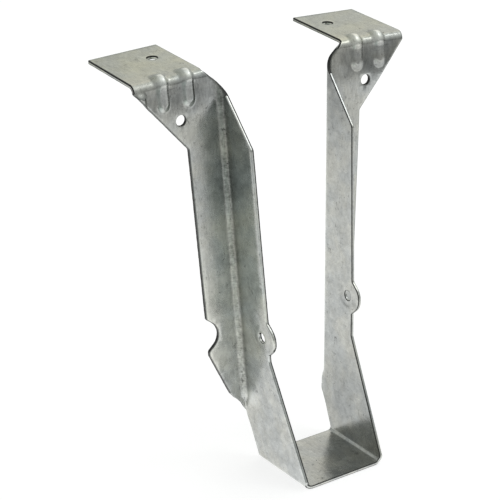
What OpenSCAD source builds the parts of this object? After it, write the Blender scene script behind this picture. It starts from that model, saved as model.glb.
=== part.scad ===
// Top-flange joist hanger, folded from one galvanised sheet.
// Origin: middle of the seat's bearing face. +X across the joist, +Y towards the header, +Z up.

/* [Joist and header] */
// Clear width between the side plates at the seat
joist_w = 39.7; // [38:0.1:60]
// Height of the header's top above the seat
hanger_h = 184.8; // [150:0.1:240]
// Depth of the seat that the joist bears on
seat_depth = 38.7; // [34:0.1:42]
// Gap from the header's face to the seat's back edge
seat_gap = 9.1; // [7:0.1:11]

/* [Sheet and folds] */
// Thickness of the galvanised sheet
sheet_t = 1.6; // [1.2:0.1:2]
// Inner radius of the two folds under the joist
seat_bend_r = 2; // [1.5:0.1:3]
// Inner radius of the upright folds beside the header
face_bend_r = 3.8; // [3:0.1:4.2]
// Inner radius of the folds over the header's edge
top_bend_r = 1.8; // [1:0.1:2]
// Outward lean of each leg, in degrees
leg_splay = 2.2; // [0:0.1:3]
// Rise of each top flange towards its back edge, in degrees
flange_rise = 5; // [0:0.1:6]

/* [Top flanges] */
// Length of a top flange over the header
flange_len = 38.1; // [32:0.1:60]
// Width of a top flange
flange_w = 33.9; // [30:0.1:38]
// Distance from the side plate's inner face to the top flange
flange_offset = 9.5; // [8.5:0.1:11]

/* [Face flanges] */
// Width of a face flange below its slanted edge
face_w_top = 19.7; // [18.5:0.1:21]
// Width of a face flange above the notch
face_w_low = 18.2; // [17:0.1:19]
// Drop from the header's top to the foot of the slanted edges
slant_drop = 31.8; // [28:0.1:40]

/* [Side plates] */
// Depth of a side plate below its slanted edge
plate_d_top = 22; // [20:0.1:24]
// Depth of a side plate above the seat's flare
plate_d_low = 24; // [23:0.1:26]
// Height at which the side plates start to flare to the seat
flare_h = 53.5; // [50:0.1:54]

/* [Stiffening ribs] */
// Height of a rib above the sheet
rib_h = 1.3; // [0.8:0.1:1.6]
// Length of a rib on the top flange
rib_back = 2; // [1:0.1:4]
// Drop from the header's top to a rib's lower end
rib_drop = 11.5; // [9:0.1:13]
// Distance from the side plate's inner face to the first rib
rib_offset = 17.6; // [15:0.1:19]
// Distance from one rib to the next
rib_pitch = 12.4; // [11:0.1:13]

/* [Nail holes] */
// Diameter of every nail hole
nail_d = 5; // [4.2:0.1:5.5]
// Distance from the side plate's inner face to the top nail
top_nail_w = 19.5; // [16:0.1:26]
// Distance from the header's face to the top nail
top_nail_y = 24; // [18:0.1:30]
// Distance from the side plate's inner face to the face nail
face_nail_w = 22.4; // [20:0.1:24]
// Drop from the header's top to the face nail
face_nail_drop = 18.1; // [17:0.1:20]
// Distance from the header's face to the joist nail
joist_nail_y = 20.4; // [19:0.1:21]

/* [Nail tab and notch] */
// Height of the left joist nail above the seat
joist_nail_h = 64.6; // [64.2:0.1:70]
// Height of the right joist nail above the left one
nail_stagger = 7.8; // [0:0.1:12]
// Half height of the round tab, and of the notch that matches it
tab_half = 7.9; // [7.4:0.1:8.3]
// Reach of the tab past the side plate's front edge
tab_reach = 5.3; // [4.5:0.1:6]
// Depth of the notch in the face flange
notch_depth = 5.3; // [4.5:0.1:6]
// Height of the shallow dome around the joist nail
dome_h = 0.8; // [0.4:0.1:1.2]

/* [Hidden] */
zinc = [0.66, 0.67, 0.66];
round_fn = 64;
arc_steps = 6;
// Length by which a cutting shape runs past the sheet
reach = 60;
header_y = seat_depth / 2 + seat_gap;
seat_back = seat_gap;
seat_front = seat_gap + seat_depth;
face_bend_out = face_bend_r + sheet_t;
flange_end = flange_offset + flange_w;
// Tangent lengths of the seat fold and the top fold
seat_tangent = seat_bend_r * tan((90 - leg_splay) / 2);
top_tangent = top_bend_r * tan((90 - flange_rise) / 2);
// Gap between a corner of the sheet and the fold next to it
fold_gap = 0.6;
// Slanted edges: the foot, and the top of the outer one under the fold
slant_h = hanger_h - slant_drop;
slant_top_h = hanger_h - top_tangent - fold_gap;
// Lower edge of the sheet: where the upright fold starts, its middle, and the flange behind it
fold_low_h = 9.8;
fold_mid_h = 21;
flange_low_h = 27.8;
// Short flat foot of the face flange: its width, and where the flange starts to widen
foot_w = 2.4;
flange_knee_h = 31.5;
// Slanted upper edge where it crosses the upright fold
fold_top_in = hanger_h - 11;
fold_top_out = hanger_h - 3.7;
// Top flange's inner edge where it meets the slanted one
flange_root_h = hanger_h + 1.2;
// Round end of the tab and of the notch: radius, and where its straight flanks would meet
tab_r = 7.2;
tab_point = 4;
// How far the notch sits below the tab
notch_drop = 1;
// Corner radii of the sheet's outline, from nearly sharp to the widest bend in an edge
sharp_r = 0.6;
lip_r = 1.6;
knee_r = 2;
flare_r = 3;
// Half of the upright fold's width at 45 degrees, at the middle of the sheet
fold_half = (face_bend_r + sheet_t / 2) * sqrt(0.5);
fold_margin = 1;
// How far the legs run down over the seat's folds, and the top flanges run back over their folds
leg_lap = 0.3;
flange_lap = 0.1;
// How much thinner the inner of two lapped pieces is on each face
inset = 0.01;
// Ribs: outer radius of the round section, whose axis lies on the header's faces
rib_r = sheet_t + rib_h;
rib_low_h = hanger_h - rib_drop + sqrt(rib_r * rib_r - sheet_t * sheet_t);
// Underside of a rib on the top flange, inside the sheet's thickness
rib_lift = (rib_back + rib_r) * tan(flange_rise) + flange_lap;
// Rib that the slanted edge cuts off: distance of its axis from the side plate, and its top
end_rib_x = flange_end - 2.5;
end_rib_h = hanger_h - 3.2;
// Cone pressed outward around the joist nail: radii at its foot and at its top
dome_foot_r = 6;
dome_top_r = 4.4;
// How much narrower the dome's hollow is than the dome
dome_wall = 0.6;

// Points of an arc that rounds corner b of the path a, b, c; b's third value is the radius.
function corner(a, b, c) =
    let (to_a = unit(a, b), to_c = unit(c, b),
         half = acos(to_a * to_c) / 2,
         bisector = (to_a + to_c) / norm(to_a + to_c),
         centre = [b[0], b[1]] + bisector * (b[2] / sin(half)),
         from = [b[0], b[1]] + to_a * (b[2] / tan(half)) - centre,
         to = [b[0], b[1]] + to_c * (b[2] / tan(half)) - centre,
         start = atan2(from[1], from[0]),
         raw = atan2(to[1], to[0]) - start,
         turn = raw > 180 ? raw - 360 : raw < -180 ? raw + 360 : raw,
         steps = b[2] > 4 ? 2 * arc_steps : arc_steps)
    [for (i = [0:steps]) centre + b[2] * dir(start + turn * i / steps)];

// Unit vector at an angle
function dir(angle) = [cos(angle), sin(angle)];

// Unit vector from b to a, in the plane
function unit(a, b) = let (v = [a[0] - b[0], a[1] - b[1]]) v / norm(v);

// A closed outline whose points are [x, y, corner radius]
function rounded(points) =
    let (n = len(points))
    [for (i = [0:n - 1])
        for (q = points[i][2] > 0
                ? corner(points[(i + n - 1) % n], points[i], points[(i + 1) % n])
                : [[points[i][0], points[i][1]]]) q];

// Part of a ring between two angles less than 180 apart
module ring_part(inner_r, outer_r, from, to) {
    middle = (from + to) / 2;
    far = 2 * outer_r;
    intersection() {
        difference() {
            circle(r = outer_r, $fn = round_fn);
            circle(r = inner_r, $fn = round_fn);
        }
        polygon([
            [0, 0],
            far * dir(from),
            far * dir(middle),
            far * dir(to)
        ]);
    }
}

// Extrude a Y-Z outline along X
module along_x(from, to) {
    translate([from, 0, 0])
        rotate([90, 0, 90])
            linear_extrude(height = to - from)
                children();
}

// Extrude an X-Z outline along Y
module along_y(from, to) {
    translate([0, to, 0])
        rotate([90, 0, 0])
            linear_extrude(height = to - from)
                children();
}

// Face flange as seen from the joist: X outward from the side plate, Z up from the seat
module face_outline(nail_h) {
    notch_h = nail_h - notch_drop;
    polygon(rounded([
        [face_bend_out, flange_low_h, 0],
        [face_bend_out + foot_w, flange_knee_h, 0],
        [face_w_low, flare_h, knee_r],
        [face_w_low, notch_h - tab_half, lip_r],
        [face_w_low - notch_depth - tab_point, notch_h, tab_r],
        [face_w_low, notch_h + tab_half, lip_r],
        [face_w_top, slant_h, knee_r],
        [flange_end, slant_top_h, sharp_r],
        [flange_end, hanger_h + reach, 0],
        [flange_offset, hanger_h + reach, 0],
        [flange_offset, flange_root_h, 0],
        [face_bend_out, fold_top_out, 0]
    ]));
}

// Side plate from the side: Y back to the header, Z up from the seat
module plate_outline(nail_h) {
    polygon(rounded([
        [-face_bend_out, fold_low_h, 0],
        [-face_bend_out, fold_top_in, 0],
        [-plate_d_top, slant_h, knee_r],
        [-plate_d_low, nail_h + tab_half, lip_r],
        [-plate_d_low - tab_reach - tab_point, nail_h, tab_r],
        [-plate_d_low, nail_h - tab_half, sharp_r],
        [-plate_d_low, flare_h, flare_r],
        [-seat_front + inset, seat_tangent + fold_gap, knee_r],
        [-seat_front + inset, seat_tangent - leg_lap, 0],
        [-seat_back - inset, seat_tangent - leg_lap, 0],
        [-seat_back - inset, seat_tangent, 0]
    ]));
}

// Upright fold seen at 45 degrees
module fold_outline() {
    wide = fold_half + fold_margin;
    low_slope = (fold_mid_h - fold_low_h) / fold_half;
    high_slope = (flange_low_h - fold_mid_h) / fold_half;
    top_slope = (fold_top_out - fold_top_in) / fold_half / 2;
    polygon([
        [-wide, fold_low_h - low_slope],
        [0, fold_mid_h],
        [wide, flange_low_h + high_slope],
        [wide, fold_top_out + top_slope],
        [-wide, fold_top_in - top_slope]
    ]);
}

// Fold over the header's edge and the top flange
module top_section() {
    translate([top_bend_r, hanger_h - top_tangent]) {
        ring_part(top_bend_r, top_bend_r + sheet_t, 90 + flange_rise, 180);
        rotate(flange_rise)
            translate([-flange_lap, top_bend_r + inset])
                square([flange_len - top_bend_r + flange_lap, sheet_t - 2 * inset]);
    }
}

// Half of a disc, on the side away from the header
module half_disc(r) {
    intersection() {
        circle(r = r, $fn = round_fn);
        translate([-r, -r])
            square([2 * r, r]);
    }
}

// Quarter of a ball around the X axis: the part in front of the header and above its top
module quarter_ball(r) {
    rotate([0, 90, 0])
        rotate([0, 0, 180])
            rotate_extrude(angle = 90, $fn = round_fn)
                intersection() {
                    circle(r = r, $fn = round_fn);
                    translate([0, -r])
                        square([r, 2 * r]);
                }
}

// Round ridge of a given radius over the header's edge
module rib(x, r) {
    translate([x, 0, rib_low_h])
        linear_extrude(height = hanger_h - rib_low_h)
            half_disc(r);
    translate([x, 0, rib_low_h])
        rotate([90, 0, 0])
            quarter_ball(r);
    translate([x, 0, hanger_h])
        quarter_ball(r);
    translate([x, 0, hanger_h])
        along_y(0, rib_back)
            rotate(180)
                half_disc(r);
    translate([x, rib_back, hanger_h])
        rotate([-90, 0, 0])
            quarter_ball(r);
}

// Short ridge on the face flange alone, which the slanted edge cuts off
module end_rib(r) {
    translate([end_rib_x, 0, end_rib_h]) {
        quarter_ball(r);
        translate([0, 0, -rib_drop])
            linear_extrude(height = rib_drop)
                half_disc(r);
    }
}

// The ribs of one leg
module ribs(r, with_end_rib) {
    for (i = [0:1])
        rib(rib_offset + i * rib_pitch, r);
    if (with_end_rib)
        end_rib(r);
}

// Shallow cone pressed outward around the joist nail; its foot is at x
module nail_dome(nail_h, x, foot_r, top_r) {
    translate([x, -joist_nail_y, nail_h])
        rotate([0, 90, 0])
            cylinder(r1 = foot_r, r2 = top_r, h = dome_h, $fn = round_fn);
}

module nail_holes(nail_h) {
    translate([face_nail_w, -reach / 2, hanger_h - face_nail_drop])
        rotate([-90, 0, 0])
            cylinder(d = nail_d, h = reach, $fn = round_fn);
    translate([0, 0, hanger_h])
        rotate([flange_rise, 0, 0])
            translate([top_nail_w, top_nail_y, -reach / 4])
                cylinder(d = nail_d, h = reach / 2, $fn = round_fn);
    translate([-reach / 4, -joist_nail_y, nail_h])
        rotate([0, 90, 0])
            cylinder(d = nail_d, h = reach / 2, $fn = round_fn);
}

// Flat side plate with the dome around its nail
module plate(nail_h) {
    along_x(0, sheet_t)
        plate_outline(nail_h);
    nail_dome(nail_h, sheet_t, dome_foot_r, dome_top_r);
}

// Upright fold beside the header
module face_fold() {
    intersection() {
        linear_extrude(height = hanger_h)
            translate([face_bend_out, -face_bend_out])
                ring_part(face_bend_r, face_bend_out, 90, 180);
        rotate([0, 0, 45])
            along_y(-reach, reach)
                fold_outline();
    }
}

// Face flange, top fold and top flange, with the ribs across the fold
module flanges(nail_h, with_end_rib) {
    intersection() {
        union() {
            union() {
                translate([face_bend_out, -sheet_t, 0])
                    cube([reach, sheet_t, hanger_h - top_tangent]);
                difference() {
                    ribs(rib_r, with_end_rib);
                    cube([reach, reach, hanger_h + rib_lift]);
                }
            }
            along_x(face_bend_out, reach)
                top_section();
        }
        along_y(-reach, reach)
            face_outline(nail_h);
    }
}

// One leg, upright: X outward from the joist's side, Y back to the header's face, Z up from the seat
module leg(nail_h, with_end_rib) {
    difference() {
        union() {
            plate(nail_h);
            face_fold();
            flanges(nail_h, with_end_rib);
        }
        ribs(rib_h, with_end_rib);
        nail_dome(nail_h, 0, dome_foot_r - dome_wall, dome_top_r - dome_wall);
        nail_holes(nail_h);
    }
}

// Half of the seat and the fold up to a leg, from the front
module seat_section() {
    inner = joist_w / 2 - seat_tangent;
    polygon([
        [0, -inset],
        [inner, -inset],
        [inner, inset - sheet_t],
        [0, inset - sheet_t]
    ]);
    translate([inner, seat_bend_r])
        ring_part(seat_bend_r + inset, seat_bend_r + sheet_t - inset, -90, -leg_splay);
}

// Seat with the two folds that turn up into the legs
module seat() {
    for (side = [0, 1])
        mirror([side, 0, 0])
            along_y(-seat_depth / 2, seat_depth / 2)
                seat_section();
}

module hanger() {
    color(zinc) {
        seat();
        for (side = [0, 1])
            mirror([1 - side, 0, 0])
                translate([joist_w / 2, header_y, 0])
                    rotate([0, leg_splay, 0])
                        leg(joist_nail_h + side * nail_stagger, side == 0);
    }
}

hanger();
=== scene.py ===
import math
from collections import namedtuple

import bmesh
import bpy
from bpy.props import FloatProperty, FloatVectorProperty, IntProperty, PointerProperty
from mathutils import Matrix, Vector, noise
from mathutils.geometry import delaunay_2d_cdt
from mathutils.kdtree import KDTree


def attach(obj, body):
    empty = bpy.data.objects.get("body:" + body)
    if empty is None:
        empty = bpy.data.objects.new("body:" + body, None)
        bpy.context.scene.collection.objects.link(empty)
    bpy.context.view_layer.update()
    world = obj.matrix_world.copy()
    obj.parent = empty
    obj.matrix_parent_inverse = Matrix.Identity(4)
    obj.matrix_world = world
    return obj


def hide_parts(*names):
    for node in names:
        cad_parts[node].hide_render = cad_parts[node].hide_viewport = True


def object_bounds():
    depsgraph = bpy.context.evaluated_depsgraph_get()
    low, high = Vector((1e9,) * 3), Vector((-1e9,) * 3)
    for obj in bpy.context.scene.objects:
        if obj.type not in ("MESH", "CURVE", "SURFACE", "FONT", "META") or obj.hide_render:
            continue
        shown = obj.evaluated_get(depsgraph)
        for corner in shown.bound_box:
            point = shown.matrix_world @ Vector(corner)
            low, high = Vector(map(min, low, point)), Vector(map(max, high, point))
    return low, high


bl_info = {
    "name": "Joist Hanger",
    "version": (1, 0, 0),
    "blender": (4, 5, 0),
    "location": "View3D > Sidebar > Joist Hanger",
    "description": "Dresses a galvanised top-flange joist hanger and sets its stage",
    "category": "Object",
}

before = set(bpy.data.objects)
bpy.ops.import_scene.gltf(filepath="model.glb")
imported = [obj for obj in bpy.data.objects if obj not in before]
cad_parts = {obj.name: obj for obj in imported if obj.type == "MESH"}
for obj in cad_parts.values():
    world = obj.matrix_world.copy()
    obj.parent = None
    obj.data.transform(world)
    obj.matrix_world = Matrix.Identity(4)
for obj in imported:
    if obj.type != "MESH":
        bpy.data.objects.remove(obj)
CAD_BOX = [list(corner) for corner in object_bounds()]
MM = 0.001
# Corners of a nail hole, and sides of the burr
HOLE_STEPS, BURR_SIDES = 40, 6
# Points of the mesh that are closer than this are one point, and edges sharper than this stay sharp
WELD, SHARP_ANGLE = 1e-6, math.radians(38)
# Corner radii of the sheet's outline, from nearly sharp to the widest bend in an edge
ROOT_R, TIP_R, SHARP_R = 0.4 * MM, 0.5 * MM, 0.6 * MM
RELIEF_R, SEAT_CORNER_R = 1.2 * MM, 1.4 * MM
KNEE_R, FLARE_R, FOOT_BEND_R = 2 * MM, 3 * MM, 4 * MM
# Gap between a corner of the sheet and the fold next to it
FOLD_GAP = 0.6 * MM
# How far round the top fold a top flange's inner edge starts
ROOT_TURN = 0.62
# Reach of a fold's wear and painted highlight to each side of its middle, in lengths of the fold
FOLD_WEAR_SHEEN_REACH = 0.72
# The painted shade in the upright fold's hollow: its end below the tight foot, how fast it fades in, and its reach
# in lengths of the fold
CREASE_DROP, CREASE_FADE, CREASE_REACH = 2 * MM, 6 * MM, 0.85
# The painted light patch beside the upright fold's foot: how light it is, its middle above the tight foot and its
# reach up and down, then its middle and its reach across, in lengths of the fold
FOOT_SHEEN, FOOT_SHEEN_UP, FOOT_SHEEN_REACH, FOOT_SHEEN_MIDDLE, FOOT_SHEEN_ACROSS = 0.8, 1 * MM, 8 * MM, -0.4, 1.4
# The painted highlight on the tents: its middle in lengths of the top fold, its reach along the rib and, in tents,
# across it
SHEEN_MIDDLE, SHEEN_REACH, SHEEN_ACROSS = 0.6, 4.5 * MM, 0.9
# The painted shade on the flat round them: how far it reaches below the header's top and over the fold's start,
# and its border
SHADE_DROP, SHADE_UP, SHADE_FADE = 18 * MM, 1 * MM, 3 * MM
# How far the painted highlight along the rim reaches into the sheet
RIM_REACH = 0.9 * MM
# How dark a sheared edge is: torn steel, rolled over by the shear, where the darkness is painted shade, along the
# upright fold's foot, and its lip
TORN, ROLLED_SHADE, FOOT_EDGE, LIP = 1.0, 0.65, 0.25, 0.3
# Depth at which the torn part of a sheared edge starts, in roundings of its lip
TEAR_START = 1.4
# Unevenness that pressing leaves: waves per metre, their share, and how far apart the two legs' samples are
WAVES = ((28, 1.0, 0.3), (75, 0.5, 1.0))
# Distance from the seat's middle line, where the halves meet, over which that unevenness comes in
CALM_REACH = 6 * MM
# Steps of the mesh, as shares of the grid: across a fold and the dome, over the ribs, round a seat fold, along a
# fold and along the rim; then how far the plain grid keeps from a finer patch, and any point from the rim
FOLD_STEP, RIB_STEP, SEAT_STEP, LONG_STEP, RIM_STEP = 0.3, 0.26, 0.24, 0.8, 0.2
PATCH_GAP, RIM_GAP = 0.4, 0.17
# The finer patch over the ribs: how far it reaches below the header's top and back over the top flange
PATCH_DROP, PATCH_BACK = 15 * MM, 8 * MM
# Height at which the finer patch of an upright fold starts
FOLD_PATCH_START = 4 * MM

# Stretched grain of the coat: its turn, waves per metre each way, detail, roughness, distortion, and between which
# values of the noise it comes in, or None for the noise itself
Grain = namedtuple("Grain", "turn scale detail rough distortion shown")
GRAINS = {
    "feather": Grain((0.5, 0.9, 0.4), (900, 260, 300), 3.0, 0.6, 0.5, None),
    "flecks": Grain((0.6, 0.5, 0.3), (640, 560, 330), 3.0, 0.55, 1.3, (0.6, 0.76)),
    "strokes": Grain((1.2, 0.7, 0.3), (1500, 160, 1300), 2.0, 0.5, 0.2, (0.66, 0.8)),
    "scuffs": Grain((0.0, 0.12, 0.1), (260, 260, 2400), 2.0, 0.5, 0.4, (0.62, 0.76)),
    "wear": Grain((0, 0, 0), (900, 900, 260), 3.0, 0.55, 0.0, (0.3, 0.65)),
    "cracks": Grain((0, 0, 0), (500, 500, 1700), 3.0, 0.6, 0.8, (0.35, 0.62)),
    "lines": Grain((0, 0, 0), (2600, 2600, 2600), 2.0, 0.55, 0.0, None),
}
# Even grain of the coat: waves per metre, detail and roughness
CLOUD, FINE = (55, 5.0, 0.6), (900, 3.0, 0.6)
# The crystals: how far a slow noise bends their borders, in crystals, how slow it is, and how soft they are
CRYSTAL_BEND, CRYSTAL_BEND_SCALE, CRYSTAL_SOFTNESS = 1.6, 0.35, 0.7
# Between which values of the clouds the coat turns warm, and the same for the painted warm reflection on the top
# flanges, with the least share
WARM_CLOUDS, TOP_REFLECTION_CLOUDS = (0.35, 0.65), (0.2, 0.6, 0.6, 1.0)
# Darkest and lightest line of the torn steel, in its own colour
STEEL_DARK, STEEL_LIGHT = 0.6, 1.5
# How much each pattern adds to the roughness, beside the crystals and clouds that vary it both ways
CRYSTAL_ROUGH, CLOUD_ROUGH, FLECK_ROUGH, SHEEN_SHADE_ROUGH, CREASE_ROUGH, CUT_ROUGH = 0.08, 0.2, 0.15, 0.1, 0.1, 0.2
# How high each pattern stands in the bump, and how deep the whole of it is
FINE_BUMP, FEATHER_BUMP, FLECK_BUMP, CUT_BUMP, BUMP_DEPTH = 0.35, 0.5, -0.5, 1.4, 0.05 * MM
# Heights between which the top flanges take on a painted warm reflection
TOP_REFLECTION_HEIGHTS = (183.5 * MM, 186.5 * MM)
# Tints of the painted warm reflection on the top flanges and of the hollow side of an upright fold, and how much
# of the second shows
TOP_REFLECTION_TINT, CREASE_TINT, CREASE_TINT_SHARE = (1.0, 1.0, 0.88, 1.0), (1.0, 0.99, 0.86, 1.0), 0.35
# Bumps of the burr: per metre, and between which values of the noise they come in
BURR_BUMPS, BURR_SHOWN = 420.0, (0.35, 0.65)

# Round spot in the floor's unseen light: its place, where it starts to fade, where it ends, and what it changes
Spot = namedtuple("Spot", "x y near far change", defaults=(None,))
POOL = Spot(-20 * MM, 20 * MM, 380 * MM, 900 * MM)
FRONT_LEFT = Spot(-280 * MM, -280 * MM, 120 * MM, 360 * MM, 0.6)
DIM_SPOTS = (
    # The first dim spot is a painted shadow of the hanger in the floor's unseen glow
    Spot(10 * MM, 50 * MM, 20 * MM, 100 * MM, 0.266),
    Spot(140 * MM, -220 * MM, 80 * MM, 240 * MM, 0.28),
    FRONT_LEFT,
)
BRIGHT_SPOTS = (
    Spot(330 * MM, -340 * MM, 60 * MM, 180 * MM, 0.22),
    Spot(-110 * MM, -110 * MM, 50 * MM, 220 * MM, 0.7),
)
# Plain light, the front left spot's light, and the floor's grey where the camera doesn't see it and under its glow
WHITE, COOL, FLOOR_GREY, GLOW_GREY = (1.0, 1.0, 1.0, 1.0), (0.88, 1.0, 0.95, 1.0), 0.8, 0.42
# Between which cosines off their middle the room's bright corner and the light above the front come in
CORNER_SHOWN, FRONT_SHOWN = (0.87, 0.96), (0.7, 0.98)
# Nearest and farthest thing that the camera shows
CAMERA_CLIP = (10 * MM, 50.0)


def length(name, description, millimetres):
    return FloatProperty(
        name=name, description=description, default=millimetres * MM,
        subtype="DISTANCE", unit="LENGTH", precision=5)


def angle(name, description, degrees):
    return FloatProperty(
        name=name, description=description, default=math.radians(degrees), subtype="ANGLE", unit="ROTATION")


def share(name, description, default):
    return FloatProperty(name=name, description=description, default=default, subtype="FACTOR", min=0, max=1)


def colour(name, description, default):
    return FloatVectorProperty(
        name=name, description=description, default=default, subtype="COLOR", size=3, min=0, max=1)


def heading(name, description, default):
    return FloatVectorProperty(name=name, description=description, default=default, subtype="DIRECTION", size=3)


def level(name, description, default):
    return FloatProperty(name=name, description=description, default=default, min=0)


class HangerSheetSettings(bpy.types.PropertyGroup):
    """Sizes of the folded sheet"""

    joist_w: length("Joist width", "Clear width between the side plates at the seat", 39.7)
    hanger_h: length("Height", "Height of the header's top above the seat", 184.8)
    seat_depth: length("Seat depth", "Depth of the seat that the joist bears on", 38.7)
    seat_gap: length("Seat gap", "Gap from the header's face to the seat's back edge", 9.1)
    thickness: length("Thickness", "Thickness of the sheet", 1.6)
    seat_bend_r: length("Seat fold radius", "Inner radius of the folds under the joist", 1.5)
    face_bend_r: length("Upright fold radius", "Inner radius of the folds beside the header", 3.0)
    top_bend_r: length("Top fold radius", "Inner radius of the folds over the header's edge", 1.8)
    leg_splay: angle("Splay", "Outward lean of each leg", 2.2)
    flange_rise: angle("Rise", "Rise of a top flange towards its back edge", 5)
    flange_len: length("Top flange length", "Length of a top flange over the header", 38.1)
    flange_w: length("Top flange width", "Width of a top flange", 33.9)
    flange_offset: length("Top flange offset", "From the side plate's inner face to the top flange", 9.5)
    face_w_top: length("Face flange top width", "Width of a face flange below its slanted edge", 19.7)
    face_w_low: length("Face flange low width", "Width of a face flange above the notch", 18.2)
    slant_drop: length("Slant drop", "Drop from the header's top to the foot of the slanted edges", 31.8)
    plate_d_top: length("Plate top depth", "Depth of a side plate below its slanted edge", 22)
    plate_d_low: length("Plate low depth", "Depth of a side plate above the flare", 24)
    flare_h: length("Flare height", "Height at which the side plates start to flare to the seat", 53.5)
    fold_low_h: length("Fold foot", "Height at which the sheet's lower edge enters the upright fold", 12.5)
    fold_mid_h: length("Fold middle", "Height of the sheet's lower edge in the middle of that fold", 19.3)
    fold_mid_share: share("Fold middle share", "Share of the fold's width at which that middle lies", 0.58)
    flange_low_h: length("Flange foot", "Height of the sheet's lower edge just past that fold", 26.9)
    flange_low_w: length("Flange foot width", "From that fold to the foot of the flange", 1.1)
    foot_tight_h: length("Tight foot", "Height below which the upright fold tightens towards its free end", 29)
    foot_run: length("Foot run", "Height over which that fold tightens", 5)
    foot_r: length("Foot radius", "Inner radius of the upright fold at its free end", 0.2)
    foot_shift: share("Foot shift", "Share of the fold's slack that the side plate takes up at the foot", 0.62)
    flange_knee_h: length("Flange knee", "Height of the small corner at the flange's foot", 31.6)
    flange_knee_w: length("Flange knee width", "From the side plate's inner face to that corner", 9.3)
    fold_top_in: length("Fold top, plate side", "Drop of the slanted edge on the plate's side of the fold", 11)
    fold_top_out: length("Fold top, flange side", "Drop of the slanted edge on the flange's side of the fold", 3.7)
    rib_h: length("Rib height", "Height of a rib above the sheet", 1.2)
    rib_end: length("Rib end", "From the top fold to the end of a rib on the top flange", 4.4)
    rib_fade: length("Rib fade", "Length over which a rib fades into the top flange", 5)
    rib_drop: length("Rib drop", "Drop from the header's top to a rib's lower end", 12.55)
    rib_blunt: share("Rib bluntness", "How blunt the round foot of a rib is", 0.8)
    rib_offset: length("Rib offset", "From the side plate's inner face to the first rib", 17.6)
    rib_pitch: length("Rib pitch", "From one rib to the next", 12.4)
    rib_low: length("Rib foot height", "Height of a rib above the sheet at its lower end", 0.9)
    rib_flat: length("Rib front", "Half width of a rib's flat front", 1.2)
    rib_soft: length("Rib reach", "Half width of a rib with its soft flanks", 3.5)
    tent_soft: length("Tent reach", "Half width of the tent that a rib raises over the top fold", 4.3)
    tent_h: length("Tent height", "How much higher a rib is where it crosses the top fold", 0.8)
    tent_back: length("Tent back", "Reach of a tent from the fold's middle back over the top flange", 4.8)
    tent_down: length("Tent down", "Reach of a tent from the fold's middle down the face flange", 3)
    tent_lean: length("Tent lean", "How far a tent leans towards the side plate", 0.5)
    cut_rib_fade: length("Cut rib fade", "Length over which the cut rib fades at its foot", 3.4)
    end_rib_offset: length("End rib offset", "From the side plate's inner face to the cut rib", 40.9)
    nail_d: length("Nail hole", "Diameter of every nail hole", 5)
    top_nail_w: length("Top nail across", "From the side plate's inner face to the top nail", 19.5)
    top_nail_y: length("Top nail back", "From the header's face to the top nail", 24)
    face_nail_w: length("Face nail across", "From the side plate's inner face to the face nail", 22.4)
    face_nail_drop: length("Face nail drop", "Drop from the header's top to the face nail", 18.1)
    joist_nail_y: length("Joist nail", "From the header's face to the joist nail", 20.4)
    joist_nail_h: length("Joist nail height", "Height of the left joist nail above the seat", 64.6)
    nail_stagger: length("Nail stagger", "Height of the right joist nail above the left one", 7.8)
    tab_half: length("Tab half height", "Half height of the round tab and of its notch", 7.9)
    tab_reach: length("Tab reach", "Reach of the tab past the side plate's front edge", 5.3)
    tab_r: length("Tab radius", "Radius of the round end of the tab and of its notch", 7.2)
    tab_point: length("Tab point", "How far past that round end its straight flanks would meet", 4)
    notch_depth: length("Notch depth", "Depth of the notch in the face flange", 5.3)
    notch_drop: length("Notch drop", "How far the notch sits below the tab", 1)
    lip_r: length("Lip radius", "Rounding where the tab and the notch leave the straight edges", 1.6)
    seat_relief: length("Seat relief", "Set-back of the sheet's front edge in the seat folds", 0.9)
    spring_back: length("Spring back", "How far the face flange's free edge opens towards the header", 0.45)
    spring_run: length("Spring run", "Length over which the flange opens", 80)
    bulge_drop: length("Bulge drop", "From the top fold down to the middle of the bulge", 15)
    bulge: length("Bulge", "How far the face flange bulges below the top fold", 0.35)
    dome_h: length("Dome height", "Height of the shallow dome round the joist nail", 0.5)
    dome_foot_r: length("Dome foot", "Radius of the dome at its foot", 6.6)
    dome_top_r: length("Dome top", "Radius of the dome's flat top", 3.6)
    roll_over: length("Roll-over", "Rounding where the shear enters the sheet", 0.42)
    break_edge: length("Break edge", "Rounding where the shear leaves the sheet", 0.08)
    hole_roll_over: length("Hole roll-over", "Rounding where a punch enters the sheet", 0.2)
    torn_flange: share("Torn flange", "Share of a flange's sheared edge that is torn rather than smooth", 0.9)
    torn_plate: share("Torn plate", "Share of a side plate's sheared edge that is torn rather than smooth", 0.36)
    torn_top: share("Torn top", "Share of a top flange's sheared edge that is torn, from its upper side", 0.55)
    torn_seat: share("Torn seat", "Share of the seat's sheared edge that is torn rather than smooth", 0.36)
    grid: length("Grid", "Spacing of the mesh across the flat faces", 2.5)
    waviness: length("Waviness", "Unevenness left in the flat faces by pressing", 0.04)


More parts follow.
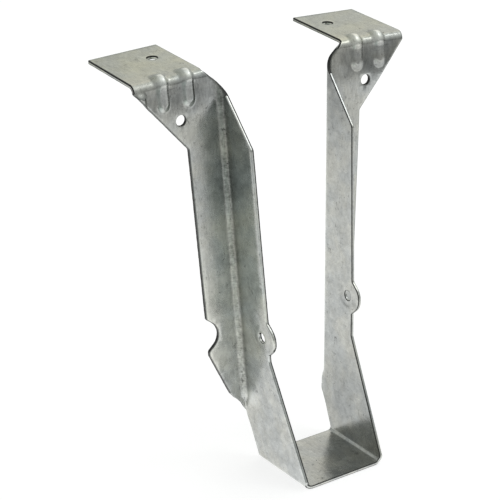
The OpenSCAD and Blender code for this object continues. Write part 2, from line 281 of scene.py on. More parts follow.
class HangerZincSettings(bpy.types.PropertyGroup):
    """Colours and grain of the zinc coat"""

    zinc: colour("Zinc", "Colour of the zinc coat", (0.386, 0.400, 0.394))
    warm_zinc: colour("Weathered zinc", "Colour of the coat's warmer patches", (0.400, 0.402, 0.372))
    steel: colour("Torn steel", "Colour of the bare steel in a sheared edge", (0.042, 0.042, 0.041))
    crystal: length("Zinc crystal", "Size of one crystal in the zinc coat", 4.5)
    crystal_contrast: share("Crystal contrast", "How much one crystal differs in brightness from the next", 0.22)
    cloud_contrast: share("Cloud contrast", "How much the coat's large clouds differ in brightness", 0.6)
    feather_contrast: share("Feather contrast", "How much the feathered grain differs in brightness", 0.65)
    fine_contrast: share("Fine contrast", "How much the finest grain differs in brightness", 0.3)
    fleck_darkness: share("Fleck darkness", "How much darker the flecks are", 0.45)
    scuff_darkness: share("Scuff darkness", "How much darker the scuffs are", 0.22)
    stroke_light: share("Stroke light", "How much lighter the fine strokes are", 0.2)
    # Folds lighter by the zinc's wear and by a painted highlight
    wear_and_sheen_light: share("Wear light", "How much lighter the worn folds are", 0.2)
    # Painted highlight on the tents over the top fold and beside the upright fold's foot
    sheen_light: share("Rub light", "How much lighter the coat is where the press rubbed it", 0.75)
    # Painted shade on the flat between and below the tents
    shade_darkness: share("Rub darkness", "How much darker the flat between and below the tents is", 0.14)
    # Painted highlight along a sheared rim
    rim_highlight: share("Rim light", "How much lighter the coat is along a sheared rim", 0.22)
    # Painted shade in the hollow side of an upright fold
    hollow_shade_darkness: share("Crease darkness", "How much darker the hollow side of an upright fold is", 0.32)
    crack_darkness: share("Crack darkness", "How much darker the cracks in that hollow are", 0.3)
    roughness: share("Roughness", "Roughness of the coat", 0.25)
    bump: share("Bump", "Strength of the grain's bump", 0.35)


class HangerBurrSettings(bpy.types.PropertyGroup):
    """Sizes of the burr along the sheared rim and round the nail holes"""

    rim_burr: length("Rim burr", "Radius of the burr along the sheared rim", 0.09)
    hole_burr: length("Hole burr", "Radius of the burr that a punch leaves round a hole", 0.13)
    step: length("Burr step", "Distance between two points of the burr", 0.7)
    unevenness: share("Unevenness", "How much the burr's radius varies", 0.7)
    seed: IntProperty(name="Seed", description="Seed of the burr's unevenness", default=7)


class HangerStageSettings(bpy.types.PropertyGroup):
    """Camera, floor and light"""

    position: FloatVectorProperty(
        name="Camera position", description="Where the camera stands",
        default=(-0.3823, -0.5520, 0.3706), subtype="XYZ_LENGTH", unit="LENGTH", size=3)
    yaw: angle("Yaw", "Turn of the camera about the vertical", -32.855)
    pitch: angle("Pitch", "Rise of the camera's line of sight", -21.374)
    roll: angle("Roll", "Turn of the camera about its line of sight", -2.130)
    lens: FloatProperty(
        name="Lens", description="Focal length on a 36 mm sensor",
        default=118.42, subtype="DISTANCE_CAMERA", unit="CAMERA")
    shift_x: FloatProperty(name="Shift X", description="Sideways shift of the lens", default=-0.0303)
    shift_y: FloatProperty(name="Shift Y", description="Upward shift of the lens", default=-0.0172)
    room: colour("Room light", "Colour of the light that comes from all round", (0.97, 1.0, 0.98))
    room_strength: level("Room strength", "Strength of the light from all round", 0.6)
    corner: colour("Corner light", "Colour of the light from the bright corner", (1.0, 0.985, 0.93))
    corner_strength: level("Corner strength", "Strength of the light from the bright corner", 1.12)
    bright_corner: heading("Bright corner", "Direction of the bright corner", (0.58, 0.50, 0.64))
    front_strength: level("Front strength", "Strength of the light from above the front", 1.1)
    key_direction: heading("Key direction", "Direction of the soft lamp above the front", (0.51, -0.36, 0.78))
    key_power: FloatProperty(
        name="Key power", description="Power of the soft lamp above the front",
        default=0.4, subtype="POWER", unit="POWER", min=0)
    key_distance: length("Key distance", "Distance of the soft lamp from the hanger's middle", 900)
    key_size: length("Key size", "Width of the soft lamp", 250)
    floor_glow: share("Floor glow", "Glow that makes the floor show white", 0.72)
    pool_light: share("Pool light", "Light that the zinc mirrors from the floor round the hanger", 0.94)
    floor_half: length("Floor half width", "Half of the floor's width", 3000)


def link(obj):
    bpy.context.scene.collection.objects.link(obj)
    return obj


def new_object(name, mesh):
    return link(bpy.data.objects.new(name, mesh))


# ---------------------------------------------------------------- materials


class Nodes:
    """Short calls that build one node tree."""

    def __init__(self, tree):
        self.tree = tree
        self.tree.nodes.clear()

    def add(self, kind, inputs=None, **values):
        """A node whose inputs are given numbers, colours or outputs of other nodes."""
        node = self.tree.nodes.new(kind)
        for key, value in values.items():
            setattr(node, key, value)
        for socket, value in (inputs or {}).items():
            if isinstance(value, bpy.types.NodeSocket):
                self.tree.links.new(value, node.inputs[socket])
            else:
                node.inputs[socket].default_value = value
        return node

    def out(self, kind, inputs=None, output=0, **values):
        """One output of such a node."""
        return self.add(kind, inputs, **values).outputs[output]

    def maths(self, operation, *values, clamp=False):
        return self.out("ShaderNodeMath", dict(enumerate(values)), operation=operation, use_clamp=clamp)

    def remap(self, value, low, high, to_low=0.0, to_high=1.0):
        ends = {"From Min": low, "From Max": high, "To Min": to_low, "To Max": to_high}
        return self.out("ShaderNodeMapRange", {"Value": value, **ends}, interpolation_type="SMOOTHSTEP")

    def mix(self, factor, a, b, blend="MIX"):
        return self.out("ShaderNodeMix", {"Factor": factor, 6: a, 7: b}, 2, data_type="RGBA", blend_type=blend)

    def noise(self, vector, scale, detail, rough, distortion=0.0):
        return self.out("ShaderNodeTexNoise", {
            "Vector": vector, "Scale": scale, "Detail": detail, "Roughness": rough, "Distortion": distortion})

    def grain(self, place, kind):
        turned = self.out("ShaderNodeMapping", {"Vector": place, "Rotation": kind.turn, "Scale": kind.scale})
        noise = self.noise(turned, 1.0, kind.detail, kind.rough, kind.distortion)
        return self.remap(noise, *kind.shown) if kind.shown else noise

    def vary(self, base, pattern, amount):
        """base, raised and lowered by a pattern that runs from 0 to 1."""
        return self.lift(base, self.maths("SUBTRACT", pattern, 0.5), amount)

    def lift(self, base, pattern, amount):
        """base, raised by amount where a pattern is 1."""
        return self.maths("MULTIPLY_ADD", pattern, amount, base)

    def attribute(self, name):
        return self.out("ShaderNodeAttribute", output="Fac", attribute_name=name)


def nodes_of(block):
    """The emptied node tree of a new material or world."""
    block.use_nodes = True
    return Nodes(block.node_tree)


def rgba(colour, factor=1.0):
    return (*(min(1.0, c * factor) for c in colour), 1.0)


def zinc_patterns(n, settings, place):
    """Every pattern of the coat, each from 0 to 1, by name."""
    # A slow noise bends the crystals' borders
    size = settings.crystal
    slow = n.out(
        "ShaderNodeTexNoise", {"Vector": place, "Scale": CRYSTAL_BEND_SCALE / size, "Detail": 3.0}, "Color")
    bend = (size * CRYSTAL_BEND,) * 3
    bent = n.out("ShaderNodeVectorMath", {0: slow, 1: bend, 2: place}, operation="MULTIPLY_ADD")
    crystals = n.out(
        "ShaderNodeTexVoronoi", {"Vector": bent, "Scale": 1.0 / size, "Smoothness": CRYSTAL_SOFTNESS},
        "Color", feature="SMOOTH_F1")
    patterns = {name: n.grain(place, kind) for name, kind in GRAINS.items()}
    patterns["crystal"] = n.out("ShaderNodeSeparateColor", {0: crystals})
    patterns["cloud"] = n.noise(place, *CLOUD)
    patterns["fine"] = n.noise(place, *FINE)
    return patterns


def coat_brightness(n, s, pattern, hollow_shade_mask, pressed):
    """Brightness of the coat, round 1, with painted highlights and shade."""
    light = n.vary(1.0, pattern["crystal"], s.crystal_contrast)
    light = n.vary(light, pattern["cloud"], s.cloud_contrast)
    light = n.vary(light, pattern["feather"], s.feather_contrast)
    light = n.vary(light, pattern["fine"], s.fine_contrast)
    light = n.lift(light, pattern["flecks"], -s.fleck_darkness)
    light = n.lift(light, pattern["scuffs"], -s.scuff_darkness)
    light = n.lift(light, pattern["strokes"], s.stroke_light)
    # Folds: worn zinc with a painted highlight
    light = n.lift(light, n.maths("MULTIPLY", n.attribute("fold"), pattern["wear"]), s.wear_and_sheen_light)
    # Painted highlight along the sheared rim
    light = n.lift(light, n.maths("MULTIPLY", n.attribute("rim"), pattern["fine"]), s.rim_highlight)
    # Painted shade in the hollow side of an upright fold, darker still at the zinc's own cracks there
    shade_and_cracks = n.lift(s.hollow_shade_darkness, pattern["cracks"], s.crack_darkness)
    light = n.lift(light, n.maths("MULTIPLY", hollow_shade_mask, shade_and_cracks), -1.0)
    # Painted highlight on the tents and beside the upright fold's foot, and painted shade on the flat round the
    # tents
    light = n.lift(light, n.maths("MAXIMUM", pressed, 0.0), s.sheen_light)
    return n.lift(light, n.maths("MINIMUM", pressed, 0.0), s.shade_darkness)


def coat_colour(n, s, pattern, place, hollow_shade_mask, pressed):
    """Colour of the coat: warmer patches, creases, and a painted warm reflection on the top flanges."""
    cloud = pattern["cloud"]
    tint = n.mix(n.remap(cloud, *WARM_CLOUDS), rgba(s.zinc), rgba(s.warm_zinc))
    light = coat_brightness(n, s, pattern, hollow_shade_mask, pressed)
    zinc = n.mix(1.0, tint, n.out("ShaderNodeCombineColor", {0: light, 1: light, 2: light}), "MULTIPLY")
    zinc = n.mix(n.maths("MULTIPLY", hollow_shade_mask, CREASE_TINT_SHARE), zinc, CREASE_TINT, "MULTIPLY")
    height = n.out("ShaderNodeSeparateXYZ", {0: place}, "Z")
    # Painted warm reflection on the top flanges, left off the painted highlights
    top_reflection = n.maths("MULTIPLY", n.remap(height, *TOP_REFLECTION_HEIGHTS), n.maths("SUBTRACT", 1.0, pressed, clamp=True))
    top_reflection = n.maths("MULTIPLY", top_reflection, n.remap(cloud, *TOP_REFLECTION_CLOUDS))
    return n.mix(top_reflection, zinc, TOP_REFLECTION_TINT, "MULTIPLY")


def galvanised_material(s):
    """Zinc coat with crystals, flecks, scratches and worn folds, painted highlights and shade, and dark steel
    where it was sheared.
    """
    material = bpy.data.materials.new("galvanised_sheet")
    n = nodes_of(material)
    place = n.out("ShaderNodeTexCoord", output="Object")
    pattern = zinc_patterns(n, s, place)
    hollow_shade_mask, pressed, cut = (n.attribute(name) for name in ("hollow_shade_mask", "pressed", "cut"))
    zinc = coat_colour(n, s, pattern, place, hollow_shade_mask, pressed)
    # Sheared steel with fine lines across the sheet
    bare = n.mix(pattern["lines"], rgba(s.steel, STEEL_DARK), rgba(s.steel, STEEL_LIGHT))
    rough = n.vary(s.roughness, pattern["crystal"], CRYSTAL_ROUGH)
    rough = n.vary(rough, pattern["cloud"], CLOUD_ROUGH)
    rough = n.lift(rough, pattern["flecks"], FLECK_ROUGH)
    rough = n.lift(rough, pressed, SHEEN_SHADE_ROUGH)
    rough = n.lift(rough, hollow_shade_mask, CREASE_ROUGH)
    rough = n.lift(rough, cut, CUT_ROUGH)
    height = n.lift(n.maths("MULTIPLY", pattern["fine"], FINE_BUMP), pattern["feather"], FEATHER_BUMP)
    height = n.lift(height, pattern["flecks"], FLECK_BUMP)
    height = n.lift(height, n.maths("MULTIPLY", cut, pattern["lines"]), CUT_BUMP)
    bump = n.out("ShaderNodeBump", {"Strength": s.bump, "Distance": BUMP_DEPTH, "Height": height})
    shader = n.out("ShaderNodeBsdfPrincipled", {
        "Metallic": 1.0, "Base Color": n.mix(cut, zinc, bare), "Roughness": rough, "Normal": bump})
    n.add("ShaderNodeOutputMaterial", {"Surface": shader})
    return material


# ---------------------------------------------------------------- outline of the flat sheet


def unit(a, b):
    return (Vector(a[:2]) - Vector(b[:2])).normalized()


def corner(a, b, c, steps=8):
    """Points of an arc of radius b[2] that rounds corner b of the path a, b, c."""
    to_a, to_c = unit(a, b), unit(c, b)
    half = to_a.angle(to_c) / 2
    radius = b[2]
    centre = Vector(b[:2]) + (to_a + to_c).normalized() * (radius / math.sin(half))
    start = Vector(b[:2]) + to_a * (radius / math.tan(half)) - centre
    turn = start.angle_signed(Vector(b[:2]) + to_c * (radius / math.tan(half)) - centre)
    first = math.atan2(start.y, start.x)
    return [centre + radius * Vector((math.cos(first - turn * i / steps), math.sin(first - turn * i / steps)))
            for i in range(steps + 1)]


def rounded(points):
    """The open path through points, each with a corner radius; its two ends are kept sharp."""
    path = [Vector(points[0][:2])]
    for a, b, c in zip(points, points[1:], points[2:]):
        path += corner(a, b, c) if b[2] > 0 else [Vector(b[:2])]
    return path + [Vector(points[-1][:2])]


def resampled(path, step):
    """The same path with no stretch longer than step."""
    out = [path[0]]
    for a, b in zip(path, path[1:]):
        parts = max(1, math.ceil((b - a).length / step))
        out += [a.lerp(b, i / parts) for i in range(1, parts + 1)]
    return out


class Leg:
    """Half of the hanger, from the seat's middle to a top flange: its flat outline and how it folds.

    u runs across the side plate, round the upright fold and out along the face flange, and v up from the seat.
    Depth runs through the sheet, from the joist's side."""

    def __init__(self, s, side):
        self.s = s
        self.side = side
        self.nail_h = s.joist_nail_h + (s.nail_stagger if side > 0 else 0)
        self.bend_out = s.face_bend_r + s.thickness
        self.bend_len = (s.face_bend_r + s.thickness / 2) * math.pi / 2
        self.rib_foot = s.hanger_h - s.rib_drop
        self.top_turn = math.pi / 2 - s.flange_rise
        self.top_start = s.hanger_h - s.top_bend_r * math.tan(self.top_turn / 2)
        self.top_mid_r = s.top_bend_r + s.thickness / 2
        self.top_len = self.top_mid_r * self.top_turn
        self.v_end = self.top_start + self.top_len + s.flange_len - s.top_bend_r
        self.seat_turn = math.pi / 2 - s.leg_splay
        self.seat_start = s.seat_bend_r * math.tan(self.seat_turn / 2)
        self.seat_mid_r = s.seat_bend_r + s.thickness / 2
        self.seat_len = self.seat_mid_r * self.seat_turn
        self.seat_flat = s.joist_w / 2 - self.seat_start
        self.v_mid = self.seat_start - self.seat_len - self.seat_flat
        self.seat_back = -s.seat_gap + self.bend_out
        self.seat_front = -(s.seat_gap + s.seat_depth) + self.bend_out

    def across(self, x):
        """u of a point on the face flange, x out from the side plate's inner face."""
        return self.bend_len + x - self.bend_out

    def back(self, y):
        """u of a point on the side plate, y in front of the header's face."""
        return self.bend_out - y

    def fold_path(self, low, high):
        """Sheet edge across the upright fold, straight when seen at 45 degrees."""
        out = []
        for i in range(9):
            seen = math.sin((i / 8 - 0.5) * math.pi / 2) / math.sin(math.pi / 4)
            out.append(Vector((self.bend_len * i / 8, (low + high) / 2 + (high - low) / 2 * seen)))
        return out

    def outline(self):
        """The rim, from the seat's middle line at its back edge round to that line at its front edge."""
        s = self.s
        top = s.hanger_h
        slant = top - s.slant_drop
        notch = self.nail_h - s.notch_drop
        side, root = self.across(s.face_w_low), self.across(s.flange_offset)
        end = root + s.flange_w
        front = self.back(s.plate_d_low)
        rim = [Vector((self.seat_back, self.v_mid))] + rounded([
            (self.seat_back, self.seat_start, 0),
            (0, s.fold_low_h, FLARE_R),
            (s.fold_mid_share * self.bend_len, s.fold_mid_h, FOOT_BEND_R),
            (self.bend_len + s.flange_low_w, s.flange_low_h, FLARE_R),
            (self.across(s.flange_knee_w), s.flange_knee_h, SHARP_R),
            (side, s.flare_h, KNEE_R),
            (side, notch - s.tab_half, s.lip_r),
            (side - s.notch_depth - s.tab_point, notch, s.tab_r),
            (side, notch + s.tab_half, s.lip_r),
            (self.across(s.face_w_top), slant, KNEE_R),
            (end, self.top_start - FOLD_GAP, SHARP_R),
            (end, self.v_end, TIP_R),
            (root, self.v_end, TIP_R),
            (root, self.top_start + ROOT_TURN * self.top_len, ROOT_R),
            (self.bend_len, top - s.fold_top_out, 0),
        ])
        rim += self.fold_path(top - s.fold_top_in, top - s.fold_top_out)[::-1][1:]
        rim += rounded([
            (0, top - s.fold_top_in, 0),
            (self.back(s.plate_d_top), slant, KNEE_R),
            (front, self.nail_h + s.tab_half, s.lip_r),
            (front - s.tab_reach - s.tab_point, self.nail_h, s.tab_r),
            (front, self.nail_h - s.tab_half, SHARP_R),
            (front, s.flare_h, FLARE_R),
            (self.seat_front, self.seat_start + FOLD_GAP, SEAT_CORNER_R),
            (self.seat_front + s.seat_relief, self.seat_start - self.seat_len / 2, RELIEF_R),
            (self.seat_front, self.seat_start - self.seat_len - FOLD_GAP, RELIEF_R),
            (self.seat_front, self.v_mid, 0),
        ])[1:]
        return rim

    def holes(self):
        """Centres of the nail holes in the flat sheet."""
        s = self.s
        fold_end = s.top_bend_r * math.cos(s.flange_rise) - (s.hanger_h - self.top_start) * math.sin(s.flange_rise)
        top = self.top_start + self.top_len + s.top_nail_y - fold_end
        return [
            Vector((self.across(s.face_nail_w), s.hanger_h - s.face_nail_drop)),
            Vector((self.across(s.top_nail_w), top)),
            Vector((self.back(s.joist_nail_y), self.nail_h)),
        ]

    def out_from_plate(self, u):
        """Distance of a point of the flange from the side plate's inner face."""
        return u - self.bend_len + self.bend_out

    def rib_profile(self, aside):
        """1 on a rib's flat front, 0 past its reach."""
        s = self.s
        return ease((s.rib_soft - aside) / (s.rib_soft - s.rib_flat))

    def rib(self, axis, v):
        """Height of a rib and of its tent over the top fold, axis across from the rib's middle."""
        s = self.s
        fold_middle = self.top_start + self.top_len / 2
        rise = min(1.0, max(0.0, (v - self.rib_foot) / (self.top_start - self.rib_foot)))
        height = s.rib_low + (s.rib_h - s.rib_low) * rise
        fade = ease((self.top_start + self.top_len + s.rib_end - v) / s.rib_fade)
        aside = math.hypot(axis, s.rib_blunt * max(0.0, self.rib_foot + s.rib_soft - v))
        tent = bell((v - fold_middle) / (s.tent_back if v > fold_middle else s.tent_down))
        tent *= bell((axis + s.tent_lean) / s.tent_soft)
        return fade * height * self.rib_profile(aside) + tent * s.tent_h

    def cut_rib(self, axis, v):
        """Height of the rib that starts under the top fold and is cut by the slanted edge."""
        s = self.s
        aside = math.hypot(axis, max(0.0, v - self.top_start + s.rib_soft))
        return s.rib_h * self.rib_profile(aside) * ease((v - self.rib_foot) / s.cut_rib_fade)

    def bow(self, x, v):
        """How far a face flange bulges below the top fold and springs back along its free edge."""
        s = self.s
        opened = (x - self.bend_out) / (s.face_w_low - self.bend_out)
        sprung = s.spring_back * opened * ease((s.hanger_h - s.slant_drop - v) / s.spring_run)
        return s.bulge * bell((v - self.top_start + s.bulge_drop) / s.bulge_drop) * ease(opened) - sprung

    def swell(self, u, v):
        """How far the sheet stands out of its plain folded shape."""
        s = self.s
        out = 0.0
        if u > self.bend_len:
            x = self.out_from_plate(u)
            out += sum(self.rib(x - s.rib_offset - i * s.rib_pitch, v) for i in (0, 1))
            if self.side < 0:
                out += self.cut_rib(x - s.end_rib_offset, v)
            if v < self.top_start:
                out += self.bow(x, v)
        distance = (Vector((u, v)) - Vector((self.back(s.joist_nail_y), self.nail_h))).length
        return out + s.dome_h * ease((s.dome_foot_r - distance) / (s.dome_foot_r - s.dome_top_r))

    def fold_amount(self, u, v):
        """1 in the middle of a fold, 0 on the flats, for the wear of the zinc and the painted highlight on it."""
        def inside(value, start, length):
            return bell((value - start - length / 2) / (length * FOLD_WEAR_SHEEN_REACH))
        return max(
            inside(u, 0, self.bend_len),
            inside(v, self.top_start, self.top_len) if u > self.bend_len else 0,
            inside(v, self.seat_start - self.seat_len, self.seat_len))

    def hollow_shade_amount(self, u, v):
        """1 in the hollow of the upright fold, where shade is painted, 0 beside it and where the fold runs out at
        its foot.
        """
        up = ease((v - self.s.foot_tight_h + CREASE_DROP) / CREASE_FADE)
        return up * bell((u / self.bend_len - 0.5) / CREASE_REACH)

    def pressed(self, u, v):
        """Painted light and shade: 1 for a painted highlight on the tents over the top fold, nearly 1 for painted
        light beside the foot of the upright fold, -1 for painted shade on the flat between and below the tents, 0
        elsewhere."""
        s = self.s
        if u <= self.bend_len:
            # Painted light beside the foot of the upright fold
            across = bell((u / self.bend_len - FOOT_SHEEN_MIDDLE) / FOOT_SHEEN_ACROSS)
            return FOOT_SHEEN * across * bell((v - s.foot_tight_h - FOOT_SHEEN_UP) / FOOT_SHEEN_REACH)
        x = self.out_from_plate(u) + s.tent_lean
        over_fold = bell((v - self.top_start - self.top_len * SHEEN_MIDDLE) / SHEEN_REACH)
        tents = max(bell((x - s.rib_offset - i * s.rib_pitch) / (s.tent_soft * SHEEN_ACROSS)) for i in (0, 1))
        below = ease((v - s.hanger_h + SHADE_DROP) / SHADE_FADE) * ease((self.top_start + SHADE_UP - v) / SHADE_FADE)
        return over_fold * tents - below * (1 - over_fold * tents)

    def place(self, u, v, depth):
        """The folded place of a point of the flat sheet."""
        s = self.s
        # The upright fold tightens at its free end, where no tool held it
        tight = ease((s.foot_tight_h - v) / s.foot_run)
        outer_r = self.bend_out + (s.foot_r + s.thickness - self.bend_out) * tight
        fold_len = (outer_r - s.thickness / 2) * math.pi / 2
        start = (self.bend_len - fold_len) * s.foot_shift
        if u > start + fold_len:
            x = outer_r + u - start - fold_len
            if v <= self.top_start:
                point = Vector((x, start - self.bend_out + outer_r - depth, v))
            else:
                run = v - self.top_start
                turn = min(run / self.top_mid_r, self.top_turn)
                r = s.top_bend_r + depth
                over = max(0.0, run - self.top_len)
                point = Vector((
                    x,
                    s.top_bend_r - r * math.cos(turn) + over * math.cos(s.flange_rise),
                    self.top_start + r * math.sin(turn) + over * math.sin(s.flange_rise)))
        elif u > start:
            turn = (u - start) / fold_len * math.pi / 2
            r = outer_r - depth
            point = Vector((outer_r - r * math.cos(turn), start - self.bend_out + r * math.sin(turn), v))
        elif v < self.seat_start:
            run = self.seat_start - v
            turn = min(run / self.seat_mid_r, self.seat_turn)
            r = s.seat_bend_r + depth
            over = max(0.0, run - self.seat_len)
            angle = s.leg_splay + turn
            x = self.seat_flat + r * math.cos(angle) - over
            z = s.seat_bend_r - r * math.sin(angle)
            return Vector((x * self.side, u - self.bend_out + self.header_y(), z))
        else:
            point = Vector((depth, u - self.bend_out, v))
        cos, sin = math.cos(s.leg_splay), math.sin(s.leg_splay)
        x = point.x * cos + point.z * sin + s.joist_w / 2
        z = point.z * cos - point.x * sin
        return Vector((x * self.side, point.y + self.header_y(), z))

    def header_y(self):
        return self.s.seat_depth / 2 + self.s.seat_gap


def ease(t):
    t = min(1.0, max(0.0, t))
    return t * t * (3 - 2 * t)


def bell(t):
    """1 at the middle, 0 from 1 outward, with soft feet."""
    return math.cos(t * math.pi / 2) ** 2 if abs(t) < 1 else 0.0


# ---------------------------------------------------------------- the sheet's mesh


def grid_points(leg):
    """Points across the flat sheet, closer together over folds, ribs and the dome."""
    s = leg.s
    left, right = leg.seat_front, leg.across(s.flange_offset + s.flange_w)
    fine_low = s.hanger_h - PATCH_DROP
    fine_high = leg.top_start + leg.top_len + PATCH_BACK
    fold_step, rib_step, seat_step, long_step, gap = (
        s.grid * part for part in (FOLD_STEP, RIB_STEP, SEAT_STEP, LONG_STEP, PATCH_GAP))
    dome_reach = s.dome_foot_r + fold_step
    nail = leg.holes()[2]
    points = []

    def spread(u0, u1, du, v0, v1, dv, keep=lambda u, v: True):
        columns, rows = max(1, round((u1 - u0) / du)), max(1, round((v1 - v0) / dv))
        for i in range(columns + 1):
            for j in range(rows + 1):
                u, v = u0 + (u1 - u0) * i / columns, v0 + (v1 - v0) * j / rows
                if keep(u, v):
                    points.append(Vector((u, v)))

    def plain(u, v):
        over_top = u > leg.bend_len - s.grid / 2 and fine_low - gap < v < fine_high + gap
        in_fold = -gap < u < leg.bend_len + gap and v > 0
        in_seat = leg.seat_start - leg.seat_len - gap < v < leg.seat_start + gap
        near_nail = (Vector((u, v)) - nail).length < dome_reach + gap
        return not (over_top or in_fold or in_seat or near_nail)

    def on_dome(u, v):
        return (Vector((u, v)) - nail).length < dome_reach and u < -gap

    spread(left, right, s.grid, leg.v_mid, leg.v_end, s.grid, plain)
    spread(0, leg.bend_len, fold_step, FOLD_PATCH_START, s.hanger_h, long_step)
    spread(left, leg.seat_back, long_step, leg.seat_start - leg.seat_len, leg.seat_start, seat_step)
    spread(leg.bend_len + fold_step, right, rib_step, fine_low, fine_high, rib_step)
    spread(nail.x - dome_reach, nail.x + dome_reach, fold_step,
           nail.y - dome_reach, nail.y + dome_reach, fold_step, on_dome)
    return points


def loop_normals(loop):
    """Outward directions at the corners of a loop that runs anticlockwise, longer where the loop turns."""
    out = []
    for i, b in enumerate(loop):
        into = (b - loop[i - 1]).normalized()
        away = (loop[(i + 1) % len(loop)] - b).normalized()
        first, second = Vector((into.y, -into.x)), Vector((away.y, -away.x))
        both = (first + second).normalized()
        out.append(both / max(0.5, both.dot(first)))
    return out


def edge_profile(s, r):
    """Steps across a sheared edge from the joist's side out: how far inside the rim, and depth."""
    t, e, start = s.thickness, s.break_edge, s.break_edge * TEAR_START
    lip = [(r, 0.0), (start, 0.0), (e * 0.4, e * 0.4)]
    torn = [(0.03 * MM, start), (0.05 * MM, t * 0.33), (0.0, t * 0.54)]
    smooth = [(0.0, t * 0.62), (0.0, t - r)]
    rolled = [(r * 0.12, t - r * 0.5), (r * 0.42, t - r * 0.14), (r, t)]
    return lip + torn + smooth + rolled


def torn_amount(leg, point, depth):
    """How torn and dark a sheared edge is at one depth: 1 in the torn steel, 0 where the shear left it smooth; the
    part rolled over by the shear is dark as painted shade.
    """
    s = leg.s
    if point.x > leg.bend_len and point.y > leg.top_start:
        return TORN if depth > s.thickness * (1 - s.torn_top) else 0.0
    if leg.seat_start < point.y and point.x < 0:
        return TORN if depth < s.thickness * s.torn_plate else 0.0
    if leg.seat_start < point.y < s.flange_knee_h:
        return FOOT_EDGE
    on_seat = point.y < leg.seat_start
    if depth < s.thickness * (s.torn_seat if on_seat else s.torn_flange):
        return TORN
    # The part rolled over by the shear is painted dark as shade: fully on the seat, partly elsewhere
    if depth > s.thickness - s.roll_over:
        return TORN if on_seat else ROLLED_SHADE
    return 0.0


def sheet_loops(leg):
    """The rim, closed along the seat's middle line, then the nail holes, and how many points the rim has."""
    s = leg.s
    rim = resampled(leg.outline(), s.grid * RIM_STEP)
    steps = max(1, round((rim[0] - rim[-1]).length / s.grid))
    middle = [rim[-1].lerp(rim[0], i / steps) for i in range(1, steps)]
    turns = [2 * math.pi * i / HOLE_STEPS for i in range(HOLE_STEPS)]
    holes = [[c + Vector((math.cos(a), -math.sin(a))) * s.nail_d / 2 for a in turns] for c in leg.holes()]
    return [rim + middle] + holes, len(rim)


def torn_paths(leg):
    """The torn corner of every sheared edge: the rim as an open path, then each hole as a closed one."""
    loops, rim_points = sheet_loops(leg)
    depth = leg.s.break_edge * TEAR_START
    paths = [loops[0][:rim_points]] + [loop + loop[:1] for loop in loops[1:]]
    return [[on_sheet(leg, p.x, p.y, depth) for p in path] for path in paths]


def on_sheet(leg, u, v, depth):
    """The place of a point of the finished sheet, with its ribs, its dome and the unevenness of pressing."""
    wave = sum(part * noise.noise(Vector((u, v, leg.side * apart)) * scale) for scale, part, apart in WAVES)
    calm = ease(abs(v - leg.v_mid) / CALM_REACH)
    return leg.place(u, v, depth + leg.swell(u, v) + wave * leg.s.waviness * calm)


